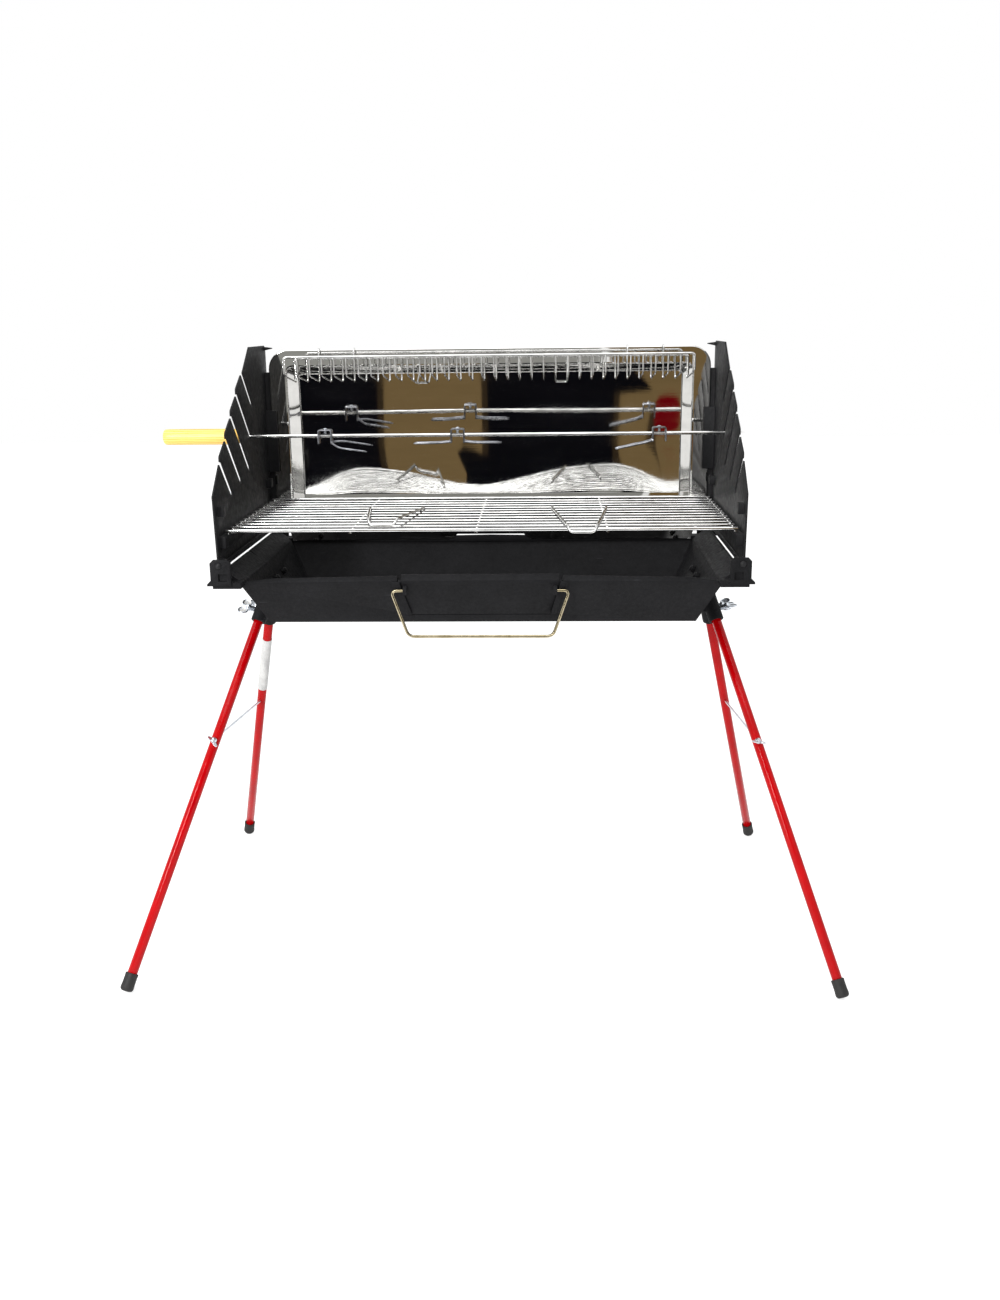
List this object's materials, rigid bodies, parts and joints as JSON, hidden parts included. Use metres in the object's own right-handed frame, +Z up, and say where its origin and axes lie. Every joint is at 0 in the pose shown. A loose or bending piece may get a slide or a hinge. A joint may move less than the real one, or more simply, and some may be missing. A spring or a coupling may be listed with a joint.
{
  "type": "rotisserie spit roaster",
  "caption": "Cast-iron charcoal barbecue on splayed legs, with slotted side plates that carry a hand-turned spit, a wire grate, a polished reflector and a warming basket.",
  "frame": {"origin": "centre of the box around the four feet, on the floor", "axes": "+X to the right as the cook stands in front, along the spit; +Y to the rear, towards the reflector; +Z up"},
  "size_m": [1.1428, 0.6568, 0.985],
  "materials": {
    "cast_iron": "sand-cast iron with matte black heat paint",
    "chrome": "bright chrome-plated steel wire",
    "fork_steel": "dark zinc-plated pressed steel strip and wire",
    "stainless": "mirror-polished stainless sheet",
    "black_steel": "black-painted steel bolts and rivets",
    "zinc": "bright blue-white zinc plate",
    "yellow_zinc": "yellow passivated zinc wire",
    "red_paint": "glossy red enamel",
    "rubber": "moulded black rubber",
    "varnished_wood": "turned, varnished pale wood",
    "label": "blank white self-adhesive film"
  },
  "bodies": {
    "stand_and_tub": {"firebox": "cast_iron", "side_plate_left": "cast_iron", "leg_bracket_left": "cast_iron", "bracket_bolt_front_left": "black_steel", "bracket_bolt_rear_left": "black_steel", "plate_pin_front_left": "black_steel", "leg_front_left": "red_paint", "foot_cap_front_left": "rubber", "plate_pin_rear_left": "black_steel", "leg_rear_left": "red_paint", "foot_cap_rear_left": "rubber", "tie_rod_left": "zinc", "leg_label": "label", "side_plate_right": "cast_iron", "leg_bracket_right": "cast_iron", "bracket_bolt_front_right": "black_steel", "bracket_bolt_rear_right": "black_steel", "plate_pin_front_right": "black_steel", "leg_front_right": "red_paint", "foot_cap_front_right": "rubber", "plate_pin_rear_right": "black_steel", "leg_rear_right": "red_paint", "foot_cap_rear_right": "rubber", "tie_rod_right": "zinc"},
    "hatch_body": {"hatch": "cast_iron"},
    "bail": {"bail_handle": "yellow_zinc"},
    "spit": {"spit_rod": "chrome", "spit_handle": "varnished_wood"},
    "fork_left_body": {"fork_left": "fork_steel"},
    "fork_left_screw": {"fork_screw_left": "zinc"},
    "fork_middle_body": {"fork_middle": "fork_steel"},
    "fork_middle_screw": {"fork_screw_middle": "zinc"},
    "fork_right_body": {"fork_right": "fork_steel"},
    "fork_right_screw": {"fork_screw_right": "zinc"},
    "grate_body": {"grate": "chrome"},
    "grate_loop_left": {"grate_handle_left": "chrome"},
    "grate_loop_right": {"grate_handle_right": "chrome"},
    "reflector_body": {"reflector": "stainless"},
    "rack": {"warming_rack": "chrome"},
    "leg_screw_front_left": {"leg_wing_screw_front_left": "zinc"},
    "leg_screw_front_right": {"leg_wing_screw_front_right": "zinc"},
    "leg_screw_rear_left": {"leg_wing_screw_rear_left": "zinc"},
    "leg_screw_rear_right": {"leg_wing_screw_rear_right": "zinc"},
    "tie_nut_left": {"tie_wing_nut_left": "zinc"},
    "tie_nut_right": {"tie_wing_nut_right": "zinc"}
  },
  "joints": [
    {"name": "spit_spin", "type": "hinge", "parent": "stand_and_tub", "child": "spit", "pos_m": [0, 0.08898, 0.8357], "axis": [1, 0, 0], "continuous": true},
    {"name": "fork_left_slide", "type": "slide", "parent": "spit", "child": "fork_left_body", "axis": [1, 0, 0], "range_m": [-0.1, 0.06]},
    {"name": "fork_left_screw_turn", "type": "hinge", "parent": "fork_left_body", "child": "fork_left_screw", "pos_m": [-0.276, 0.08898, 0.8457], "axis": [0, 0, 1], "continuous": true},
    {"name": "fork_middle_slide", "type": "slide", "parent": "spit", "child": "fork_middle_body", "axis": [1, 0, 0], "range_m": [-0.065, 0.18]},
    {"name": "fork_middle_screw_turn", "type": "hinge", "parent": "fork_middle_body", "child": "fork_middle_screw", "pos_m": [-0.048, 0.08898, 0.8457], "axis": [0, 0, 1], "continuous": true},
    {"name": "fork_right_slide", "type": "slide", "parent": "spit", "child": "fork_right_body", "axis": [1, 0, 0], "range_m": [-0.18, 0.085]},
    {"name": "fork_right_screw_turn", "type": "hinge", "parent": "fork_right_body", "child": "fork_right_screw", "pos_m": [0.296, 0.08898, 0.8457], "axis": [0, 0, 1], "continuous": true},
    {"name": "hatch_lift", "type": "slide", "parent": "stand_and_tub", "child": "hatch_body", "axis": [0, -0.4621, 0.8868], "range_m": [0, 0.07]},
    {"name": "bail_swing", "type": "hinge", "parent": "hatch_body", "child": "bail", "pos_m": [0, -0.15923, 0.61608], "axis": [1, 0, 0], "range_deg": [-125, 20]},
    {"name": "grate_slide", "type": "slide", "parent": "stand_and_tub", "child": "grate_body", "axis": [0, -1, 0], "range_m": [0, 0.25]},
    {"name": "grate_loop_left_swing", "type": "hinge", "parent": "grate_body", "child": "grate_loop_left", "pos_m": [-0.153, 0.0642, 0.709], "axis": [-1, 0, 0], "range_deg": [0, 90]},
    {"name": "grate_loop_right_swing", "type": "hinge", "parent": "grate_body", "child": "grate_loop_right", "pos_m": [0.16, 0.0642, 0.709], "axis": [-1, 0, 0], "range_deg": [0, 90]},
    {"name": "reflector_lift", "type": "slide", "parent": "stand_and_tub", "child": "reflector_body", "axis": [0, 0, 1], "range_m": [0, 0.3]},
    {"name": "rack_lift", "type": "slide", "parent": "reflector_body", "child": "rack", "axis": [0, 0, 1], "range_m": [0, 0.015]},
    {"name": "leg_screw_front_left_turn", "type": "hinge", "parent": "stand_and_tub", "child": "leg_screw_front_left", "pos_m": [-0.38601, 0.01079, 0.54501], "axis": [-0.9634, 0.1402, 0.2285], "continuous": true},
    {"name": "leg_screw_front_right_turn", "type": "hinge", "parent": "stand_and_tub", "child": "leg_screw_front_right", "pos_m": [0.38601, 0.01079, 0.54501], "axis": [0.9634, 0.1402, 0.2285], "continuous": true},
    {"name": "leg_screw_rear_left_turn", "type": "hinge", "parent": "stand_and_tub", "child": "leg_screw_rear_left", "pos_m": [-0.38441, 0.06517, 0.53642], "axis": [-0.9763, -0.0935, 0.1951], "continuous": true},
    {"name": "leg_screw_rear_right_turn", "type": "hinge", "parent": "stand_and_tub", "child": "leg_screw_rear_right", "pos_m": [0.38441, 0.06517, 0.53642], "axis": [0.9763, -0.0935, 0.1951], "continuous": true},
    {"name": "tie_nut_left_turn", "type": "hinge", "parent": "stand_and_tub", "child": "tie_nut_left", "pos_m": [-0.44821, -0.10607, 0.35449], "axis": [-0.0575, -0.9967, 0.0573], "continuous": true},
    {"name": "tie_nut_right_turn", "type": "hinge", "parent": "stand_and_tub", "child": "tie_nut_right", "pos_m": [0.44821, -0.10607, 0.35449], "axis": [0.0575, -0.9967, 0.0573], "continuous": true}
  ]
}
